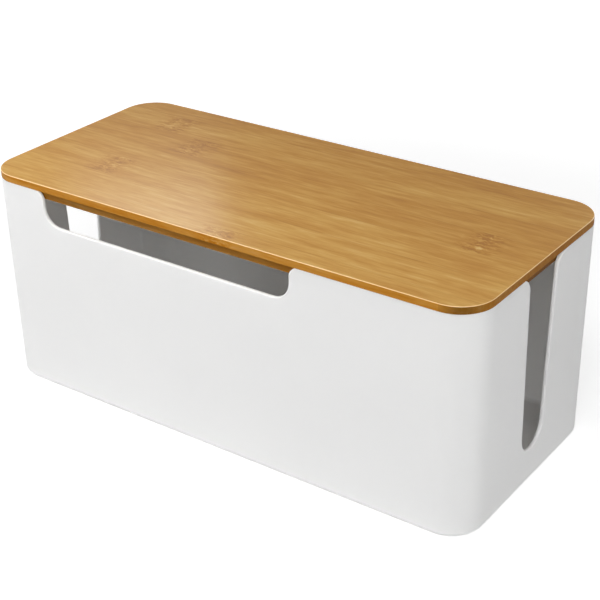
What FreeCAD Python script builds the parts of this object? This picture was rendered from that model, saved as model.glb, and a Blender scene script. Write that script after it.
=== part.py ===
import FreeCAD, Part
import math
import os

import Sketcher

# A desk-top cable box: a drafted, injection-moulded plastic shell with one hand-wide
# cut-out in its front wall and a tapered cable slot in each end wall, a loose bamboo
# lid that drops into the rim, and four rubber feet. Millimetres, +Z up, +X along the
# box, the front wall towards -Y, origin under the centre of the box on the surface
# that the feet stand on.

Vector = FreeCAD.Vector
ALONG_Z = Vector(0, 0, 1)
NEAR = 0.1                      # mm, two heights closer than this count as the same
IN_LINE = 1e-4                  # cross product of two unit directions that count as parallel
SMOOTH_TURN = math.radians(20)  # faces that meet at less than this run on smoothly
SMALLEST_CUT = 1                # mm3, a pocket that removes less has missed the solid

doc = FreeCAD.newDocument("CableBox")


# ---------------------------------------------------------------- driving dimensions

DIMENSIONS = (
    ("box_length", 340, "length of the rim, along X"),
    ("box_width", 152, "width of the rim, along Y"),
    ("wall_height", 136, "from the underside of the floor to the rim"),
    ("corner_radius", 21, "upright corners, in plan, at the rim"),
    ("wall_draft", 0.42, "degrees that every wall leans in towards the floor"),
    ("wall_thickness", 2.5, "walls and floor"),
    ("floor_fillet", 3, "inside, between the walls and the floor"),
    ("base_fillet", 1.6, "outside, round the edge of the floor"),
    ("rim_chamfer", 0.5, "breaks every edge of the rim and the openings"),
    ("cutout_width", 181, "front cut-out, between its upright sides"),
    ("cutout_shift", 33, "from the middle of the box to the middle of the cut-out, towards -X"),
    ("cutout_depth", 21.6, "from the rim down to the lower edge of the cut-out"),
    ("cutout_corner", 11.5, "radius of the cut-out's lower corners"),
    ("cutout_flare", 6.5, "radius that leads from the rim into the cut-out"),
    ("slot_end_radius", 12.4, "round lower end of the end slots"),
    ("slot_end_height", 33, "from the underside of the floor to the centre of that round end"),
    ("slot_taper", 2.1, "degrees that each side of a slot opens towards the rim"),
    ("slot_flare", 9, "radius that leads from the rim into a slot"),
    ("lid_thickness", 4.5, "top board of the lid, all of it above the rim"),
    ("lid_rounding", 0.5, "upper edge of the top board"),
    ("locating_thickness", 6.2, "locating board, all of it below the rim"),
    ("locating_clearance", 0.5, "between the locating board and the walls, at the rim"),
    ("locating_chamfer", 0.6, "lower edge of the locating board"),
    ("foot_diameter", 14, "rubber feet"),
    ("foot_standout", 1, "how far the feet stand out below the floor"),
    ("foot_recess", 0.8, "depth of the round recess that a foot sits in"),
    ("foot_clearance", 0.25, "between a foot and the wall of its recess"),
    ("foot_chamfer", 0.5, "lower edge of a foot"),
    ("foot_inset", 25, "from the rim's outline in to the centre of a foot, in X and in Y"),
)

sheet = doc.addObject("Spreadsheet::Sheet", "Sizes")
for row, (alias, number, meaning) in enumerate(DIMENSIONS, start=1):
    sheet.set(f"A{row}", meaning)
    sheet.set(f"B{row}", str(number))
    sheet.setAlias(f"B{row}", alias)
doc.recompute()


def number_of(formula):
    """The value that a formula on the sheet's cells has now, in mm or degrees."""
    result = sheet.evalExpression(formula)
    return float(getattr(result, "Value", result))


# ---------------------------------------------------------------- sketches

def new_sketch(body, name, plane):
    """An empty sketch on one of the body's own origin planes."""
    support = next(item for item in body.Origin.OriginFeatures if item.Role == plane)
    sketch = body.newObject("Sketcher::SketchObject", name)
    sketch.AttachmentSupport = (support, "")
    sketch.MapMode = "FlatFace"
    return sketch


def dimension(sketch, name, formula, kind, *where):
    """A named dimension of the sketch, bound to a formula on the sheet."""
    value = number_of(formula)
    if kind == "Angle":
        value = math.radians(value)
    index = sketch.addConstraint(Sketcher.Constraint(kind, *where, value))
    sketch.renameConstraint(index, name)
    sketch.setExpression("Constraints." + name, formula)


def direction_at(curve, point):
    """Unit tangent of a sketch curve at one of its two ends."""
    tangent = curve.tangent(curve.parameter(point))[0]
    return Vector(tangent).normalize()


def draw_outline(sketch, curves):
    """Add a closed chain of curves, tangent where it runs smooth and joined at a corner elsewhere."""
    first = len(sketch.Geometry)
    sketch.addGeometry(curves, False)
    for step, curve in enumerate(curves):
        following = (step + 1) % len(curves)
        ends = {1: curve.StartPoint, 2: curve.EndPoint}
        next_ends = {1: curves[following].StartPoint, 2: curves[following].EndPoint}
        end, next_end = min(
            ((a, b) for a in ends for b in next_ends),
            key=lambda pair: ends[pair[0]].distanceToPoint(next_ends[pair[1]]),
        )
        before = direction_at(curve, ends[end])
        after = direction_at(curves[following], next_ends[next_end])
        smooth = before.cross(after).Length < IN_LINE
        sketch.addConstraint(Sketcher.Constraint(
            "Tangent" if smooth else "Coincident",
            first + step, end, first + following, next_end,
        ))


def arc_about(x, y, radius, start, end):
    """Arc of a circle, anticlockwise between two angles in degrees."""
    circle = Part.Circle(Vector(x, y, 0), ALONG_Z, radius)
    return Part.ArcOfCircle(circle, math.radians(start), math.radians(end))


def line_between(start, end):
    return Part.LineSegment(Vector(*start, 0), Vector(*end, 0))


def draw_rounded_rectangle(sketch, length, width, radius):
    """Rounded rectangle about the sketch's origin; the sizes are formulas on the sheet."""
    half_x = number_of(length) / 2
    half_y = number_of(width) / 2
    bend = number_of(radius)
    in_x = half_x - bend
    in_y = half_y - bend
    draw_outline(sketch, [
        line_between((-in_x, -half_y), (in_x, -half_y)),
        arc_about(in_x, -in_y, bend, 270, 360),
        line_between((half_x, -in_y), (half_x, in_y)),
        arc_about(in_x, in_y, bend, 0, 90),
        line_between((in_x, half_y), (-in_x, half_y)),
        arc_about(-in_x, in_y, bend, 90, 180),
        line_between((-half_x, in_y), (-half_x, -in_y)),
        arc_about(-in_x, -in_y, bend, 180, 270),
    ])
    front, right, back, left = 0, 2, 4, 6
    sketch.addConstraint(Sketcher.Constraint("Horizontal", back))
    sketch.addConstraint(Sketcher.Constraint("Vertical", left))
    sketch.addConstraint(Sketcher.Constraint("Symmetric", front, 1, front, 2, -2))
    sketch.addConstraint(Sketcher.Constraint("Symmetric", right, 1, right, 2, -1))
    for corner in (3, 5, 7):
        sketch.addConstraint(Sketcher.Constraint("Equal", 1, corner))
    dimension(sketch, "radius", radius, "Radius", 1)
    dimension(sketch, "length", length, "DistanceX", left, 1, right, 1)
    dimension(sketch, "width", width, "DistanceY", front, 1, back, 1)


# ---------------------------------------------------------------- picking faces and edges

def facing(shape, direction):
    """Name of the flat face that lies furthest along a direction and faces it."""
    best = None
    for index, face in enumerate(shape.Faces, start=1):
        if not isinstance(face.Surface, Part.Plane):
            continue
        if face.normalAt(0, 0).getAngle(direction) > SMOOTH_TURN:
            continue
        reach = face.CenterOfMass.dot(direction)
        if best is None or reach > best[0]:
            best = (reach, f"Face{index}")
    return best[1]


def middle_of(edge):
    return edge.valueAt((edge.FirstParameter + edge.LastParameter) / 2)


def is_sharp(shape, edge):
    """True where the two faces beside an edge meet at a real corner, not smoothly."""
    middle = middle_of(edge)
    normals = []
    for face in shape.ancestorsOfType(edge, Part.Face):
        normals.append(face.normalAt(*face.Surface.parameter(middle)))
    return len(normals) == 2 and normals[0].getAngle(normals[1]) > SMOOTH_TURN


def sharp_edges(shape, wanted):
    """Names of the sharp edges whose middle point passes the test."""
    return [
        f"Edge{index}" for index, edge in enumerate(shape.Edges, start=1)
        if wanted(middle_of(edge)) and is_sharp(shape, edge)
    ]


def round_edges(body, name, edges, radius):
    base = body.Tip
    fillet = body.newObject("PartDesign::Fillet", name)
    fillet.Base = (base, edges)
    fillet.setExpression("Radius", radius)
    doc.recompute()


def chamfer_edges(body, name, edges, size):
    base = body.Tip
    chamfer = body.newObject("PartDesign::Chamfer", name)
    chamfer.Base = (base, edges)
    chamfer.setExpression("Size", size)
    doc.recompute()


# ---------------------------------------------------------------- features

def new_body(label):
    body = doc.addObject("PartDesign::Body", label)
    body.Label = label
    return body


def pad(body, name, sketch, height):
    feature = body.newObject("PartDesign::Pad", name)
    feature.Profile = sketch
    feature.setExpression("Length", height)
    doc.recompute()
    return feature


def cut(body, name, sketch, **settings):
    """A pocket that has to take material away, because one that points outwards cuts nothing."""
    before = body.Tip.Shape.Volume
    feature = body.newObject("PartDesign::Pocket", name)
    feature.Profile = sketch
    depth = settings.pop("depth", None)
    for key, value in settings.items():
        setattr(feature, key, value)
    if depth:
        feature.setExpression("Length", depth)
    doc.recompute()
    if feature.Shape.Volume > before - SMALLEST_CUT:
        raise RuntimeError(f"{name} cuts nothing")


# ---------------------------------------------------------------- the moulded box

def draw_front_cutout(sketch):
    """Outline of the cut-out on the front wall, open at the rim: X across, Z up."""
    rim = number_of("Sizes.wall_height")
    bottom = rim - number_of("Sizes.cutout_depth")
    right = number_of("Sizes.cutout_width / 2 - Sizes.cutout_shift")
    left = right - number_of("Sizes.cutout_width")
    bend = number_of("Sizes.cutout_corner")
    flare = number_of("Sizes.cutout_flare")
    above = rim + flare
    draw_outline(sketch, [
        line_between((left - flare, above), (left - flare, rim)),
        arc_about(left - flare, rim - flare, flare, 0, 90),
        line_between((left, rim - flare), (left, bottom + bend)),
        arc_about(left + bend, bottom + bend, bend, 180, 270),
        line_between((left + bend, bottom), (right - bend, bottom)),
        arc_about(right - bend, bottom + bend, bend, 270, 360),
        line_between((right, bottom + bend), (right, rim - flare)),
        arc_about(right + flare, rim - flare, flare, 90, 180),
        line_between((right + flare, rim), (right + flare, above)),
        line_between((right + flare, above), (left - flare, above)),
    ])
    left_lead, left_flare, left_side, left_corner, lower_edge = range(5)
    right_corner, right_side, right_flare, right_lead, lid = range(5, 10)
    for upright in (left_lead, left_side, right_side, right_lead):
        sketch.addConstraint(Sketcher.Constraint("Vertical", upright))
    for level in (lower_edge, lid):
        sketch.addConstraint(Sketcher.Constraint("Horizontal", level))
    sketch.addConstraint(Sketcher.Constraint("Equal", left_corner, right_corner))
    sketch.addConstraint(Sketcher.Constraint("Equal", left_flare, right_flare))
    sketch.addConstraint(Sketcher.Constraint("Vertical", left_flare, 3, left_lead, 2))
    sketch.addConstraint(Sketcher.Constraint("Vertical", right_flare, 3, right_lead, 1))
    sketch.addConstraint(Sketcher.Constraint("Horizontal", left_lead, 2, right_lead, 1))
    dimension(sketch, "corner", "Sizes.cutout_corner", "Radius", left_corner)
    dimension(sketch, "flare", "Sizes.cutout_flare", "Radius", left_flare)
    dimension(sketch, "width", "Sizes.cutout_width", "DistanceX", left_side, 1, right_side, 2)
    dimension(sketch, "right_side", "Sizes.cutout_width / 2 - Sizes.cutout_shift",
              "DistanceX", -1, 1, right_side, 2)
    dimension(sketch, "bottom", "Sizes.wall_height - Sizes.cutout_depth",
              "DistanceY", -1, 1, lower_edge, 1)
    dimension(sketch, "rim", "Sizes.wall_height", "DistanceY", -1, 1, left_lead, 2)
    dimension(sketch, "above", "Sizes.cutout_flare", "DistanceY", left_lead, 2, left_lead, 1)


def draw_end_slot(sketch):
    """Outline of the slot in both end walls, open at the rim: Y across, Z up."""
    rim = number_of("Sizes.wall_height")
    end = number_of("Sizes.slot_end_radius")
    centre = number_of("Sizes.slot_end_height")
    lean = number_of("Sizes.slot_taper")
    flare = number_of("Sizes.slot_flare")
    slope = math.tan(math.radians(lean))
    cosine = math.cos(math.radians(lean))
    sine = math.sin(math.radians(lean))
    touch_y = end * cosine
    touch_z = centre - end * sine
    flare_z = rim - flare
    flare_y = touch_y + (flare_z + flare * sine - touch_z) * slope + flare * cosine
    above = rim + flare
    side_y = flare_y - flare * cosine
    side_z = flare_z + flare * sine
    draw_outline(sketch, [
        line_between((-flare_y, above), (-flare_y, rim)),
        arc_about(-flare_y, flare_z, flare, lean, 90),
        line_between((-side_y, side_z), (-touch_y, touch_z)),
        arc_about(0, centre, end, 180 + lean, 360 - lean),
        line_between((touch_y, touch_z), (side_y, side_z)),
        arc_about(flare_y, flare_z, flare, 90, 180 - lean),
        line_between((flare_y, rim), (flare_y, above)),
        line_between((flare_y, above), (-flare_y, above)),
    ])
    left_lead, left_flare, left_side, round_end, right_side, right_flare, right_lead, lid = range(8)
    for upright in (left_lead, right_lead):
        sketch.addConstraint(Sketcher.Constraint("Vertical", upright))
    sketch.addConstraint(Sketcher.Constraint("Horizontal", lid))
    sketch.addConstraint(Sketcher.Constraint("Equal", left_flare, right_flare))
    sketch.addConstraint(Sketcher.Constraint("Vertical", left_flare, 3, left_lead, 2))
    sketch.addConstraint(Sketcher.Constraint("Vertical", right_flare, 3, right_lead, 1))
    sketch.addConstraint(Sketcher.Constraint("PointOnObject", round_end, 3, -2))
    sketch.addConstraint(Sketcher.Constraint("Symmetric", left_lead, 2, right_lead, 1, -2))
    dimension(sketch, "end_radius", "Sizes.slot_end_radius", "Radius", round_end)
    dimension(sketch, "flare", "Sizes.slot_flare", "Radius", left_flare)
    dimension(sketch, "centre", "Sizes.slot_end_height", "DistanceY", -1, 1, round_end, 3)
    dimension(sketch, "rim", "Sizes.wall_height", "DistanceY", -1, 1, left_lead, 2)
    dimension(sketch, "above", "Sizes.slot_flare", "DistanceY", left_lead, 2, left_lead, 1)
    dimension(sketch, "side", "90 - Sizes.slot_taper", "Angle", -1, 1, right_side, 1)


def draw_foot_recesses(sketch):
    """Four circles under the floor, one for each foot."""
    in_x = number_of("Sizes.box_length / 2 - Sizes.foot_inset")
    in_y = number_of("Sizes.box_width / 2 - Sizes.foot_inset")
    radius = number_of("Sizes.foot_diameter / 2 + Sizes.foot_clearance")
    for side_x in (1, -1):
        for side_y in (1, -1):
            sketch.addGeometry(Part.Circle(Vector(side_x * in_x, side_y * in_y, 0), ALONG_Z, radius), False)
    for other in (1, 2, 3):
        sketch.addConstraint(Sketcher.Constraint("Equal", 0, other))
    sketch.addConstraint(Sketcher.Constraint("Symmetric", 0, 3, 1, 3, -1))
    sketch.addConstraint(Sketcher.Constraint("Symmetric", 2, 3, 3, 3, -1))
    sketch.addConstraint(Sketcher.Constraint("Symmetric", 0, 3, 2, 3, -2))
    dimension(sketch, "radius", "Sizes.foot_diameter / 2 + Sizes.foot_clearance", "Radius", 0)
    dimension(sketch, "in_x", "Sizes.box_length / 2 - Sizes.foot_inset", "DistanceX", -1, 1, 0, 3)
    dimension(sketch, "in_y", "Sizes.box_width / 2 - Sizes.foot_inset", "DistanceY", -1, 1, 0, 3)


def build_box_body():
    """One moulding: a drafted block, shelled from above, then opened at the front and both ends."""
    body = new_body("box_body")
    outline = new_sketch(body, "RimOutline", "XY_Plane")
    draw_rounded_rectangle(outline, "Sizes.box_length", "Sizes.box_width", "Sizes.corner_radius")
    block = pad(body, "Block", outline, "Sizes.wall_height")

    rim_face = facing(block.Shape, ALONG_Z)
    upright_faces = [
        f"Face{index}" for index, face in enumerate(block.Shape.Faces, start=1)
        if abs(face.normalAt(0, 0).z) < 0.5
    ]
    draft = body.newObject("PartDesign::Draft", "MouldDraft")
    draft.Base = (block, upright_faces)
    draft.NeutralPlane = (block, [rim_face])
    draft.Reversed = True
    draft.setExpression("Angle", "Sizes.wall_draft")
    doc.recompute()

    shell = body.newObject("PartDesign::Thickness", "Shell")
    shell.Base = (draft, [facing(draft.Shape, ALONG_Z)])
    shell.Join = "Intersection"
    shell.Reversed = True
    shell.setExpression("Value", "Sizes.wall_thickness")
    doc.recompute()

    cutout = new_sketch(body, "CutoutOutline", "XZ_Plane")
    draw_front_cutout(cutout)
    cut(body, "FrontCutout", cutout, Type="ThroughAll", Reversed=True)

    slot = new_sketch(body, "SlotOutline", "YZ_Plane")
    draw_end_slot(slot)
    cut(body, "EndSlots", slot, Type="ThroughAll", SideType="Symmetric")

    recesses = new_sketch(body, "RecessOutline", "XY_Plane")
    draw_foot_recesses(recesses)
    cut(body, "FootRecesses", recesses, Reversed=True, depth="Sizes.foot_recess")

    floor_top = number_of("Sizes.wall_thickness")
    beyond_feet_x = number_of("(Sizes.box_length - Sizes.foot_inset) / 2")
    beyond_feet_y = number_of("(Sizes.box_width - Sizes.foot_inset) / 2")

    def by_the_walls(point):
        return abs(point.x) > beyond_feet_x or abs(point.y) > beyond_feet_y

    inside = sharp_edges(body.Tip.Shape, lambda p: abs(p.z - floor_top) < NEAR and by_the_walls(p))
    round_edges(body, "FloorFillet", inside, "Sizes.floor_fillet")
    outside = sharp_edges(body.Tip.Shape, lambda p: abs(p.z) < NEAR and by_the_walls(p))
    round_edges(body, "BaseFillet", outside, "Sizes.base_fillet")
    rims = sharp_edges(body.Tip.Shape, lambda p: p.z > floor_top + NEAR)
    chamfer_edges(body, "RimChamfer", rims, "Sizes.rim_chamfer")

    body.setExpression("Placement.Base.z", "Sizes.foot_standout")
    return body


# ---------------------------------------------------------------- the bamboo lid

def build_lid_top_board():
    """The board that lies on the rim and has the same outline."""
    body = new_body("lid_top_board")
    outline = new_sketch(body, "TopOutline", "XY_Plane")
    draw_rounded_rectangle(outline, "Sizes.box_length", "Sizes.box_width", "Sizes.corner_radius")
    board = pad(body, "Board", outline, "Sizes.lid_thickness")
    top = number_of("Sizes.lid_thickness")
    upper = sharp_edges(board.Shape, lambda p: p.z > top - NEAR)
    round_edges(body, "UpperEdge", upper, "Sizes.lid_rounding")
    body.setExpression("Placement.Base.z", "Sizes.foot_standout + Sizes.wall_height")
    return body


def build_lid_locating_board():
    """The smaller board glued under the top board, which drops inside the walls."""
    body = new_body("lid_locating_board")
    inset = "(Sizes.wall_thickness + Sizes.locating_clearance)"
    outline = new_sketch(body, "LocatingOutline", "XY_Plane")
    draw_rounded_rectangle(
        outline,
        f"Sizes.box_length - 2 * {inset}",
        f"Sizes.box_width - 2 * {inset}",
        f"Sizes.corner_radius - {inset}",
    )
    board = pad(body, "Board", outline, "Sizes.locating_thickness")
    lower = sharp_edges(board.Shape, lambda p: p.z < NEAR)
    chamfer_edges(body, "LowerEdge", lower, "Sizes.locating_chamfer")
    body.setExpression(
        "Placement.Base.z",
        "Sizes.foot_standout + Sizes.wall_height - Sizes.locating_thickness",
    )
    return body


# ---------------------------------------------------------------- the rubber feet

def build_foot(label, side_x, side_y):
    """A round pad stuck to the ceiling of its recess, standing out below the floor."""
    body = new_body(label)
    outline = new_sketch(body, "FootOutline", "XY_Plane")
    radius = number_of("Sizes.foot_diameter / 2")
    outline.addGeometry(Part.Circle(Vector(0, 0, 0), ALONG_Z, radius), False)
    outline.addConstraint(Sketcher.Constraint("Coincident", 0, 3, -1, 1))
    dimension(outline, "radius", "Sizes.foot_diameter / 2", "Radius", 0)
    disc = pad(body, "Disc", outline, "Sizes.foot_standout + Sizes.foot_recess")
    lower = sharp_edges(disc.Shape, lambda p: p.z < NEAR)
    chamfer_edges(body, "LowerEdge", lower, "Sizes.foot_chamfer")
    body.setExpression("Placement.Base.x", f"{side_x} * (Sizes.box_length / 2 - Sizes.foot_inset)")
    body.setExpression("Placement.Base.y", f"{side_y} * (Sizes.box_width / 2 - Sizes.foot_inset)")
    return body


# ---------------------------------------------------------------- build, test and write

bodies = [build_box_body(), build_lid_top_board(), build_lid_locating_board()]
for end_name, side_x in (("left", -1), ("right", 1)):
    for face_name, side_y in (("front", -1), ("back", 1)):
        bodies.append(build_foot(f"foot_{face_name}_{end_name}", side_x, side_y))
doc.recompute()

for item in doc.Objects:
    if "Invalid" in item.State or "Error" in item.State:
        raise RuntimeError(f"{item.Name} did not build: {item.State}")
for body in bodies:
    if body.Shape.isNull() or not body.Shape.isValid() or len(body.Shape.Solids) != 1:
        raise RuntimeError(f"{body.Label} is not one valid solid")

os.makedirs("parts", exist_ok=True)
for body in bodies:
    body.Shape.exportStep(f"parts/{body.Label}.step")
    box = body.Shape.optimalBoundingBox()
    print(f"{body.Label}: {box.XLength:.2f} x {box.YLength:.2f} x {box.ZLength:.2f} mm, "
          f"z {box.ZMin:.2f} to {box.ZMax:.2f}, {body.Shape.Volume / 1000:.1f} cm3")
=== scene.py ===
import math

import bpy
from mathutils import Matrix, Vector


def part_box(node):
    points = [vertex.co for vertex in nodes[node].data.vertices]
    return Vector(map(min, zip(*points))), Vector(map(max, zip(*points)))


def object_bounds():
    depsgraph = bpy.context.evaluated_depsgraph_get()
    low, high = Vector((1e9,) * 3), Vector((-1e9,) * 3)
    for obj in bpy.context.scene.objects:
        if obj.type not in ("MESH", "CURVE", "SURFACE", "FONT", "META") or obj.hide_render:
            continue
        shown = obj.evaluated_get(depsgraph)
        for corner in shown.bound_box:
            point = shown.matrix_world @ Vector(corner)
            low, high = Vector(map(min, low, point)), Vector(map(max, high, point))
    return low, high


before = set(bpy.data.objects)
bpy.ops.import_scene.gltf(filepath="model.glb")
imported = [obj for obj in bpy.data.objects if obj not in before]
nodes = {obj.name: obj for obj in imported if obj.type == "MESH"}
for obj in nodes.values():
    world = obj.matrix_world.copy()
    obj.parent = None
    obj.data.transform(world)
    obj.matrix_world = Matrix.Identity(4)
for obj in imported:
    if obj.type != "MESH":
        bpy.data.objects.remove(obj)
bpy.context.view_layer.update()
scene = bpy.context.scene
scene.view_settings.view_transform = "Standard"


# ---------------------------------------------------------------- camera
# A three-quarter view from the front right, a little above the lid, taken with a
# short telephoto lens from under a metre away and held a degree off level.

camera_data = bpy.data.cameras.new("camera")
camera_data.sensor_width = 36.0
camera_data.lens = 83.63
camera = bpy.data.objects.new("camera", camera_data)
scene.collection.objects.link(camera)
scene.camera = camera

low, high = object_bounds()
aim_point = (low + high) / 2 + Vector((0.0069, 0.0044, -0.0038))
azimuth = math.radians(35.91)
elevation = math.radians(27.69)
roll = math.radians(-1.10)
distance = 0.853
towards_camera = Vector((
    math.sin(azimuth) * math.cos(elevation),
    -math.cos(azimuth) * math.cos(elevation),
    math.sin(elevation),
))
level = (-towards_camera).to_track_quat("-Z", "Y").to_matrix()
camera.matrix_world = Matrix.Translation(aim_point + towards_camera * distance) @ (
    level @ Matrix.Rotation(roll, 3, "Z")
).to_4x4()


# ---------------------------------------------------------------- moulded box
# One injection moulding in white ABS, shelled to 2.5 mm, with the cut-out and the end
# slots left open by the tool. The tool is spark-eroded to a fine satin, so the walls
# take a soft wide sheen and show no reflections.

def linear(hex_colour):
    """Linear RGBA of an sRGB colour such as "#f0ece6"."""
    channels = [int(hex_colour[i:i + 2], 16) / 255 for i in (1, 3, 5)]
    return [c / 12.92 if c <= 0.04045 else ((c + 0.055) / 1.055) ** 2.4 for c in channels] + [1.0]


def add_node(tree, kind, settings=None, links=None, **properties):
    """One new node: properties of the node itself, values for its sockets, and links into them."""
    node = tree.nodes.new(kind)
    for name, value in properties.items():
        setattr(node, name, value)
    for socket, value in (settings or {}).items():
        node.inputs[socket].default_value = value
    for socket, source in (links or {}).items():
        tree.links.new(source, node.inputs[socket])
    return node


def new_material(name):
    """An empty node material and its tree."""
    material = bpy.data.materials.new(name)
    material.use_nodes = True
    material.node_tree.nodes.clear()
    return material, material.node_tree


def give_finish(node_name, material):
    """Puts the material on a CAD node, in place of its plain one."""
    slots = nodes[node_name].data.materials
    slots.clear()
    slots.append(material)


satin_abs, tree = new_material("satin_moulded_abs")
place = add_node(tree, "ShaderNodeTexCoord").outputs["Object"]
# The spark texture has pits of about 0.2 mm, drawn at 0.6 mm so that they still show.
pits = add_node(tree, "ShaderNodeTexNoise", {"Scale": 1 / 0.0006, "Detail": 2.0}, {"Vector": place})
# Flow and handling leave the sheen a little uneven over some 40 mm.
handling = add_node(tree, "ShaderNodeTexNoise", {"Scale": 1 / 0.04, "Detail": 3.0}, {"Vector": place})
abs_colour = add_node(tree, "ShaderNodeMix", {"A": linear("#f3f3f3"), "B": linear("#f6f6f5")},
                      {"Factor": handling.outputs["Fac"]}, data_type="RGBA")
abs_roughness = add_node(tree, "ShaderNodeMapRange", {"To Min": 0.40, "To Max": 0.52},
                         {"Value": handling.outputs["Fac"]})
abs_bump = add_node(tree, "ShaderNodeBump", {"Strength": 0.06, "Distance": 0.00004},
                    {"Height": pits.outputs["Fac"]})
abs_shader = add_node(tree, "ShaderNodeBsdfPrincipled",
                      {"IOR": 1.53, "Subsurface Weight": 0.8, "Subsurface Radius": (1.0, 1.0, 1.0),
                       "Subsurface Scale": 0.005},
                      {"Base Color": abs_colour.outputs["Result"],
                       "Roughness": abs_roughness.outputs["Result"],
                       "Normal": abs_bump.outputs["Normal"]})
add_node(tree, "ShaderNodeOutputMaterial", None, {"Surface": abs_shader.outputs["BSDF"]})
give_finish("box_body", satin_abs)


# ---------------------------------------------------------------- bamboo lid
# Two boards of laminated bamboo, the upper one as large as the rim and the lower one
# dropped inside it. Flat strips of split cane are planed, glued edge to edge and given
# a satin lacquer, which leaves a soft gloss and a bright line along the rounded edge.
# In the colour below, that line is also painted in as a pale band, and shade is painted
# onto the sides at the right end and onto the lower board.

bamboo_strip_width = 0.0247
bamboo_first_joint = -0.065
lid_boards_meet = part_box("lid_top_board")[0].z
# Each knuckle is a growth ring of the cane: the strip that it crosses, counted from
# the front, and its place along the lid.
bamboo_knuckles = ((-1, 0.0075), (1, -0.110), (2, 0.134), (3, -0.084), (4, -0.120))
# Each strip was split from another cane, so each has its own tone, from the front.
bamboo_strip_tones = (0.60, 0.55, 0.50, 0.43, 0.38, 0.47, 0.34)

lacquered_bamboo, tree = new_material("lacquered_flat_pressed_bamboo")
texture_space = add_node(tree, "ShaderNodeTexCoord")
place = texture_space.outputs["Object"]
axes = add_node(tree, "ShaderNodeSeparateXYZ", None, {"Vector": place})
from_joint = add_node(tree, "ShaderNodeMath", {1: -bamboo_first_joint},
                      {0: axes.outputs["Y"]}, operation="ADD")
in_strips = add_node(tree, "ShaderNodeMath", {1: bamboo_strip_width},
                     {0: from_joint.outputs[0]}, operation="DIVIDE")
strip = add_node(tree, "ShaderNodeMath", None, {0: in_strips.outputs[0]}, operation="FLOOR")
lower_board = add_node(tree, "ShaderNodeMath", {1: lid_boards_meet - 0.0001},
                       {0: axes.outputs["Z"]}, operation="LESS_THAN")
cane = add_node(tree, "ShaderNodeMath", {1: 20.0},
                {0: lower_board.outputs[0], 2: strip.outputs[0]}, operation="MULTIPLY_ADD")

# A knuckle wanders by a few millimetres as it crosses its strip.
wander = add_node(tree, "ShaderNodeTexNoise", {"Scale": 1 / 0.007, "Detail": 2.0}, {"Vector": place})
wandering = add_node(tree, "ShaderNodeMath", {1: 0.012, 2: -0.006},
                     {0: wander.outputs["Fac"]}, operation="MULTIPLY_ADD")
along = add_node(tree, "ShaderNodeMath", None,
                 {0: axes.outputs["X"], 1: wandering.outputs[0]}, operation="ADD")
nearest_knuckle = None
for strip_number, knuckle_x in bamboo_knuckles:
    offset = add_node(tree, "ShaderNodeMath", {1: knuckle_x}, {0: along.outputs[0]}, operation="SUBTRACT")
    reach = add_node(tree, "ShaderNodeMath", None, {0: offset.outputs[0]}, operation="ABSOLUTE")
    other_strip = add_node(tree, "ShaderNodeMath", {1: strip_number, 2: 0.5},
                           {0: cane.outputs[0]}, operation="COMPARE")
    on_strip = add_node(tree, "ShaderNodeMath", {1: -1.0},
                        {0: other_strip.outputs[0], 2: reach.outputs[0]}, operation="MULTIPLY_ADD")
    if nearest_knuckle is None:
        nearest_knuckle = on_strip
    else:
        nearest_knuckle = add_node(tree, "ShaderNodeMath", None,
                                   {0: nearest_knuckle.outputs[0], 1: on_strip.outputs[0]},
                                   operation="MINIMUM")
knuckle = add_node(tree, "ShaderNodeMapRange",
                   {"From Min": -1.0 + 0.018, "From Max": -1.0 + 0.001, "To Min": 0.0, "To Max": 1.0},
                   {"Value": nearest_knuckle.outputs[0]}, interpolation_type="SMOOTHSTEP")

# The fibres run straight along the cane and swirl where a branch left its knuckle.
swirl = add_node(tree, "ShaderNodeTexNoise", {"Scale": 1 / 0.006, "Detail": 2.0}, {"Vector": place},
                 noise_dimensions="3D")
swirl_turn = add_node(tree, "ShaderNodeVectorMath", {1: (0.5, 0.5, 0.5)},
                      {0: swirl.outputs["Color"]}, operation="SUBTRACT")
swirl_size = add_node(tree, "ShaderNodeMath", {1: 0.007}, {0: knuckle.outputs["Result"]},
                      operation="MULTIPLY")
swirled = add_node(tree, "ShaderNodeVectorMath", None,
                   {0: swirl_turn.outputs["Vector"], "Scale": swirl_size.outputs[0]}, operation="SCALE")
bent_place = add_node(tree, "ShaderNodeVectorMath", None,
                      {0: place, 1: swirled.outputs["Vector"]}, operation="ADD")
# Fibre bundles are about 0.4 mm across and show here at 1.6 mm, broken every 16 mm or so.
fibre_space = add_node(tree, "ShaderNodeMapping", {"Scale": (1 / 0.016, 1 / 0.0016, 1 / 0.0016)},
                       {"Vector": bent_place.outputs["Vector"]})
fibres = add_node(tree, "ShaderNodeTexNoise", {"Scale": 1.0, "Detail": 3.0, "Roughness": 0.6},
                  {"Vector": fibre_space.outputs["Vector"], "W": cane.outputs[0]}, noise_dimensions="4D")
# They gather in streaks of 40 mm, and growth leaves broader bands, some 11 mm across.
streak_space = add_node(tree, "ShaderNodeMapping", {"Scale": (1 / 0.040, 1 / 0.0028, 1 / 0.0028)},
                        {"Vector": bent_place.outputs["Vector"]})
streaks = add_node(tree, "ShaderNodeTexNoise", {"Scale": 1.0, "Detail": 2.0},
                   {"Vector": streak_space.outputs["Vector"], "W": cane.outputs[0]}, noise_dimensions="4D")
band_space = add_node(tree, "ShaderNodeMapping", {"Scale": (1 / 0.090, 1 / 0.011, 1 / 0.011)},
                      {"Vector": bent_place.outputs["Vector"]})
bands = add_node(tree, "ShaderNodeTexNoise", {"Scale": 1.0, "Detail": 2.0},
                 {"Vector": band_space.outputs["Vector"], "W": cane.outputs[0]}, noise_dimensions="4D")
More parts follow.
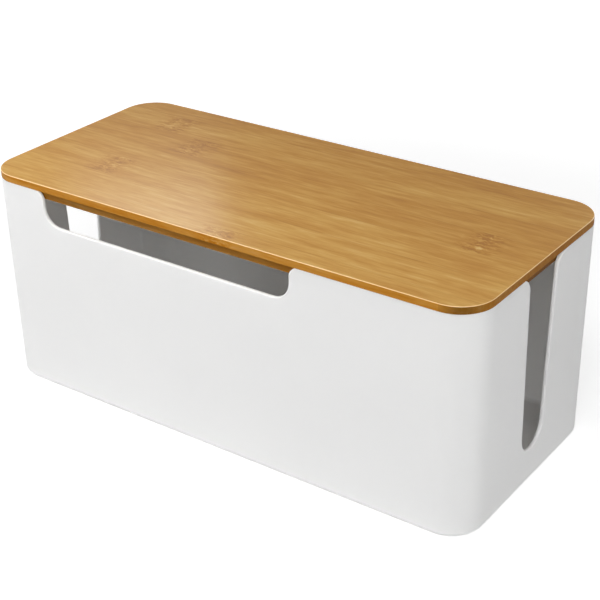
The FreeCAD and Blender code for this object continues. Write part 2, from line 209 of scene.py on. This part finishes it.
# In a knuckle the fibres are cut across, which shows as short brown and pale flecks.
fleck_space = add_node(tree, "ShaderNodeMapping", {"Scale": (1 / 0.0070, 1 / 0.0022, 1 / 0.0022)},
                       {"Vector": bent_place.outputs["Vector"]})
flecks = add_node(tree, "ShaderNodeTexNoise", {"Scale": 1.0, "Detail": 2.0, "Roughness": 0.6},
                  {"Vector": fleck_space.outputs["Vector"]})

strip_count = len(bamboo_strip_tones)
strip_share = add_node(tree, "ShaderNodeMath", {1: 1 / strip_count, 2: 1.5 / strip_count},
                       {0: strip.outputs[0]}, operation="MULTIPLY_ADD")
strip_tone = add_node(tree, "ShaderNodeValToRGB", None, {"Fac": strip_share.outputs[0]})
strip_tone.color_ramp.interpolation = "CONSTANT"
for number, tone in enumerate(bamboo_strip_tones):
    if number < 2:
        stop = strip_tone.color_ramp.elements[number]
        stop.position = number / strip_count
    else:
        stop = strip_tone.color_ramp.elements.new(number / strip_count)
    stop.color = (tone, tone, tone, 1.0)
tone = strip_tone
for pattern, weight in ((fibres, 0.84), (streaks, 0.62), (bands, 0.75)):
    shift = add_node(tree, "ShaderNodeMath", {1: 0.5}, {0: pattern.outputs["Fac"]}, operation="SUBTRACT")
    tone = add_node(tree, "ShaderNodeMath", {1: weight},
                    {0: shift.outputs[0], 2: tone.outputs[0]}, operation="MULTIPLY_ADD")
fleck_shift = add_node(tree, "ShaderNodeMath", {1: 0.60}, {0: flecks.outputs["Fac"]}, operation="SUBTRACT")
fleck_share = add_node(tree, "ShaderNodeMath", {1: 2.1},
                       {0: knuckle.outputs["Result"]}, operation="MULTIPLY")
tone = add_node(tree, "ShaderNodeMath", None,
                {0: fleck_shift.outputs[0], 1: fleck_share.outputs[0], 2: tone.outputs[0]},
                operation="MULTIPLY_ADD")
bamboo_colour = add_node(tree, "ShaderNodeValToRGB", None, {"Fac": tone.outputs[0]})
bamboo_colour.color_ramp.elements[0].position = 0.0
bamboo_colour.color_ramp.elements[0].color = linear("#9c5e08")
bamboo_colour.color_ramp.elements[1].position = 1.0
bamboo_colour.color_ramp.elements[1].color = linear("#dab673")
for position, colour in ((0.35, "#b57b24"), (0.65, "#c89745")):
    bamboo_colour.color_ramp.elements.new(position).color = linear(colour)

# The glue joints are fine dark lines, and the cut ends of the fibres drink more lacquer.
across = add_node(tree, "ShaderNodeMath", None, {0: in_strips.outputs[0]}, operation="FRACT")
to_joint = add_node(tree, "ShaderNodeMath", {1: 1.0}, {0: across.outputs[0]}, operation="PINGPONG")
glue_line = add_node(tree, "ShaderNodeMapRange",
                     {"From Min": 0.0, "From Max": 0.0008 / bamboo_strip_width,
                      "To Min": 0.14, "To Max": 0.0},
                     {"Value": to_joint.outputs[0]}, interpolation_type="SMOOTHSTEP")
facing = add_node(tree, "ShaderNodeSeparateXYZ", None, {"Vector": texture_space.outputs["Normal"]})
left_end = add_node(tree, "ShaderNodeMath", {1: -0.1}, {0: facing.outputs["X"]}, operation="MULTIPLY")
end_face = add_node(tree, "ShaderNodeMath", None,
                    {0: facing.outputs["X"], 1: left_end.outputs[0]}, operation="MAXIMUM")
jointed_colour = add_node(tree, "ShaderNodeMix", {"B": linear("#5a3a14")},
                          {"Factor": glue_line.outputs["Result"], "A": bamboo_colour.outputs["Color"]},
                          data_type="RGBA")
# The sawn sides are a deeper orange than the faces. The right end and the rounded corners
# beside it are darker still: partly end grain, where the fibres are cut across, and partly
# painted shade. The left end is left light.
flat_face = add_node(tree, "ShaderNodeMath", None, {0: facing.outputs["Z"]}, operation="ABSOLUTE")
sawn_side = add_node(tree, "ShaderNodeMapRange",
                     {"From Min": 0.10, "From Max": 0.40, "To Min": 1.0, "To Max": 0.0},
                     {"Value": flat_face.outputs[0]})
oiled = add_node(tree, "ShaderNodeMath", {1: 0.46}, {0: sawn_side.outputs["Result"]}, operation="MULTIPLY")
oiled_colour = add_node(tree, "ShaderNodeMix", {"B": linear("#a86000")},
                        {"Factor": oiled.outputs[0], "A": jointed_colour.outputs["Result"]},
                        data_type="RGBA")
end_grain_and_shade_ramp = add_node(tree, "ShaderNodeValToRGB", None, {"Fac": end_face.outputs[0]})
for position, share in ((0.0, 0.0), (1.0, 0.36), (0.10, 0.28), (0.42, 0.70), (0.71, 0.72), (0.90, 0.47)):
    stop = [e for e in end_grain_and_shade_ramp.color_ramp.elements if abs(e.position - position) < 1e-6]
    stop = stop[0] if stop else end_grain_and_shade_ramp.color_ramp.elements.new(position)
    stop.color = (share, share, share, 1.0)
end_grain_and_painted_shade = add_node(tree, "ShaderNodeMath", None,
                     {0: end_grain_and_shade_ramp.outputs["Color"], 1: sawn_side.outputs["Result"]}, operation="MULTIPLY")
# The lower board's sawn sides are darkened: partly by the oil that their rough faces take
# up inside the rim, and partly by painted shade under the upper board's overhang.
lower_side_oil_and_painted_shade = add_node(tree, "ShaderNodeMath", {1: 0.42}, {0: lower_board.outputs[0]}, operation="MULTIPLY")
side_darkening_with_painted_shade = add_node(tree, "ShaderNodeMath", None,
                     {0: lower_side_oil_and_painted_shade.outputs[0], 1: sawn_side.outputs["Result"], 2: end_grain_and_painted_shade.outputs[0]},
                     operation="MULTIPLY_ADD")
side_darkening_with_painted_shade.use_clamp = True
side_colour = add_node(tree, "ShaderNodeMix", {"B": linear("#5a3806")},
                       {"Factor": side_darkening_with_painted_shade.outputs[0], "A": oiled_colour.outputs["Result"]},
                       data_type="RGBA")
# A pale band is painted along the rounded upper edge: partly sanding wear down to pale
# wood, and partly a painted highlight.
highlight_and_wear_middle = add_node(tree, "ShaderNodeMath", {1: 0.62}, {0: facing.outputs["Z"]}, operation="SUBTRACT")
highlight_and_wear_offset = add_node(tree, "ShaderNodeMath", None, {0: highlight_and_wear_middle.outputs[0]}, operation="ABSOLUTE")
upper_edge = add_node(tree, "ShaderNodeMapRange",
                      {"From Min": 0.45, "From Max": 0.15, "To Min": 0.0, "To Max": 1.0},
                      {"Value": highlight_and_wear_offset.outputs[0]}, interpolation_type="SMOOTHSTEP")
wear_and_painted_highlight_colour = add_node(tree, "ShaderNodeMix", {"B": linear("#f6d39a")},
                       {"Factor": upper_edge.outputs["Result"], "A": side_colour.outputs["Result"]},
                       data_type="RGBA")
# The underside is left raw, which is paler.
underside = add_node(tree, "ShaderNodeMath", {1: -0.5}, {0: facing.outputs["Z"]}, operation="LESS_THAN")
raw = add_node(tree, "ShaderNodeMath", {1: 0.6}, {0: underside.outputs[0]}, operation="MULTIPLY")
finished_colour = add_node(tree, "ShaderNodeMix", {"B": linear("#e9dcc1")},
                           {"Factor": raw.outputs[0], "A": wear_and_painted_highlight_colour.outputs["Result"]},
                           data_type="RGBA")
# The lacquer lies on the flat faces and the rounded edges; the sawn sides are only oiled.
lacquer = add_node(tree, "ShaderNodeMapRange",
                   {"From Min": 0.05, "From Max": 0.40, "To Min": 0.05, "To Max": 1.0},
                   {"Value": flat_face.outputs[0]})
wood_roughness = add_node(tree, "ShaderNodeMapRange", {"To Min": 0.45, "To Max": 0.60},
                          {"Value": fibres.outputs["Fac"]})
bamboo_bump = add_node(tree, "ShaderNodeBump", {"Strength": 0.25, "Distance": 0.00004},
                       {"Height": fibres.outputs["Fac"]})
bamboo_shader = add_node(tree, "ShaderNodeBsdfPrincipled",
                         {"IOR": 1.5, "Specular IOR Level": 0.04,
                          "Coat IOR": 1.5, "Coat Roughness": 0.18},
                         {"Base Color": finished_colour.outputs["Result"],
                          "Roughness": wood_roughness.outputs["Result"],
                          "Coat Weight": lacquer.outputs["Result"],
                          "Normal": bamboo_bump.outputs["Normal"],
                          "Coat Normal": bamboo_bump.outputs["Normal"]})
add_node(tree, "ShaderNodeOutputMaterial", None, {"Surface": bamboo_shader.outputs["BSDF"]})
for name in ("lid_top_board", "lid_locating_board"):
    give_finish(name, lacquered_bamboo)


# ---------------------------------------------------------------- rubber feet
# Die-cut pads of matt grey rubber, stuck into the shallow recesses under the floor.

foot_rubber, tree = new_material("matt_grey_rubber")
place = add_node(tree, "ShaderNodeTexCoord").outputs["Object"]
grain = add_node(tree, "ShaderNodeTexNoise", {"Scale": 1 / 0.0008, "Detail": 3.0}, {"Vector": place})
rubber_colour = add_node(tree, "ShaderNodeMix", {"A": linear("#8c8c8a"), "B": linear("#979795")},
                         {"Factor": grain.outputs["Fac"]}, data_type="RGBA")
rubber_bump = add_node(tree, "ShaderNodeBump", {"Strength": 0.3, "Distance": 0.0001},
                       {"Height": grain.outputs["Fac"]})
rubber_shader = add_node(tree, "ShaderNodeBsdfPrincipled", {"IOR": 1.52, "Roughness": 0.75},
                         {"Base Color": rubber_colour.outputs["Result"],
                          "Normal": rubber_bump.outputs["Normal"]})
add_node(tree, "ShaderNodeOutputMaterial", None, {"Surface": rubber_shader.outputs["BSDF"]})
for end in ("left", "right"):
    for face in ("front", "back"):
        give_finish(f"foot_{face}_{end}", foot_rubber)


# ---------------------------------------------------------------- floor and backdrop
# A plain white sheet under the box that takes its soft shadow. Seen by the camera it
# is white; the light that it throws back is that of an ordinary pale table.

def seen_or_mirrored(tree):
    """1 for a ray that sees the backdrop straight, in a gloss or through glass, and 0 for its light."""
    ray = add_node(tree, "ShaderNodeLightPath")
    straight_or_gloss = add_node(tree, "ShaderNodeMath", None,
                                 {0: ray.outputs["Is Camera Ray"], 1: ray.outputs["Is Glossy Ray"]},
                                 operation="MAXIMUM")
    return add_node(tree, "ShaderNodeMath", None,
                    {0: straight_or_gloss.outputs[0], 1: ray.outputs["Is Transmission Ray"]},
                    operation="MAXIMUM")


white_sheet, tree = new_material("white_paper_sheet")
seen = seen_or_mirrored(tree)
paper = add_node(tree, "ShaderNodeBsdfDiffuse", {"Color": linear("#e6e6e6")})
# Away from the softboxes the sheet would turn grey, so from 0.35 to 0.8 m out it grows paler.
place = add_node(tree, "ShaderNodeTexCoord").outputs["Object"]
from_box = add_node(tree, "ShaderNodeVectorMath", None, {0: place}, operation="LENGTH")
paler = add_node(tree, "ShaderNodeMapRange",
                 {"From Min": 0.35, "From Max": 0.80, "To Min": 0.45, "To Max": 1.0},
                 {"Value": from_box.outputs["Value"]}, interpolation_type="SMOOTHSTEP")
lift = add_node(tree, "ShaderNodeMath", None,
                {0: seen.outputs[0], 1: paler.outputs["Result"]}, operation="MULTIPLY")
glow = add_node(tree, "ShaderNodeEmission", {"Color": (1.0, 1.0, 1.0, 1.0)}, {"Strength": lift.outputs[0]})
both = add_node(tree, "ShaderNodeAddShader", None, {0: paper.outputs["BSDF"], 1: glow.outputs["Emission"]})
add_node(tree, "ShaderNodeOutputMaterial", None, {"Surface": both.outputs["Shader"]})

floor_half = 6.0
floor_mesh = bpy.data.meshes.new("floor")
floor_mesh.from_pydata(
    [(-floor_half, -floor_half, 0), (floor_half, -floor_half, 0),
     (floor_half, floor_half, 0), (-floor_half, floor_half, 0)], [], [(0, 1, 2, 3)])
floor_mesh.materials.append(white_sheet)
floor = bpy.data.objects.new("floor", floor_mesh)
scene.collection.objects.link(floor)

world = bpy.data.worlds.new("white_room")
world.use_nodes = True
scene.world = world
tree = world.node_tree
tree.nodes.clear()
seen = seen_or_mirrored(tree)
room_light = add_node(tree, "ShaderNodeBackground", {"Color": (1.0, 1.0, 1.0, 1.0), "Strength": 0.04})
# White from the floor up to 10 degrees, where the walls are, and grey overhead from 15.
sky = add_node(tree, "ShaderNodeTexCoord")
height = add_node(tree, "ShaderNodeSeparateXYZ", None, {"Vector": sky.outputs["Generated"]})
wall_to_ceiling = add_node(tree, "ShaderNodeMapRange",
                           {"From Min": math.sin(math.radians(10.0)),
                            "From Max": math.sin(math.radians(15.0)),
                            "To Min": 1.0, "To Max": 0.1},
                           {"Value": height.outputs["Z"]}, interpolation_type="SMOOTHSTEP")
room_seen = add_node(tree, "ShaderNodeBackground", {"Color": (1.0, 1.0, 1.0, 1.0)},
                     {"Strength": wall_to_ceiling.outputs["Result"]})
room = add_node(tree, "ShaderNodeMixShader", None,
                {0: seen.outputs[0], 1: room_light.outputs["Background"],
                 2: room_seen.outputs["Background"]})
add_node(tree, "ShaderNodeOutputWorld", None, {"Surface": room.outputs["Shader"]})


# ---------------------------------------------------------------- lamps
# A large softbox from the front right lights both outer faces, weaker ones on the left
# make the front wall the paler, and they stand high enough for the lid to throw a shadow
# line below its edge. A faint low one in front fills in the rounded corner, one behind
# lights the back wall, and a small one behind the left end puts the sheen on the lid.

box_middle = (low + high) / 2


def softbox(name, bearing, height, reach, size, watts):
    """A square area lamp that faces the box. Bearing from the front and height are in degrees."""
    lamp = bpy.data.lights.new(name, "AREA")
    lamp.size = size
    lamp.energy = watts
    holder = bpy.data.objects.new(name, lamp)
    scene.collection.objects.link(holder)
    turn = math.radians(bearing)
    rise = math.radians(height)
    away = Vector((
        math.sin(turn) * math.cos(rise),
        -math.cos(turn) * math.cos(rise),
        math.sin(rise),
    ))
    holder.location = box_middle + away * reach
    holder.rotation_mode = "QUATERNION"
    holder.rotation_quaternion = away.to_track_quat("Z", "Y")
    return holder


softbox("key_softbox", 48.0, 45.0, 1.2, 0.9, 10.1)
softbox("left_softbox", -60.0, 45.0, 1.2, 0.8, 5.0)
softbox("near_left_softbox", -48.0, 44.0, 0.5, 0.3, 0.78)
softbox("low_front_softbox", 28.0, 19.0, 1.4, 1.0, 0.9)
softbox("back_softbox", 175.0, 14.0, 1.6, 1.0, 5.6)
softbox("sheen_softbox", -134.0, 30.0, 1.6, 0.25, 0.40)
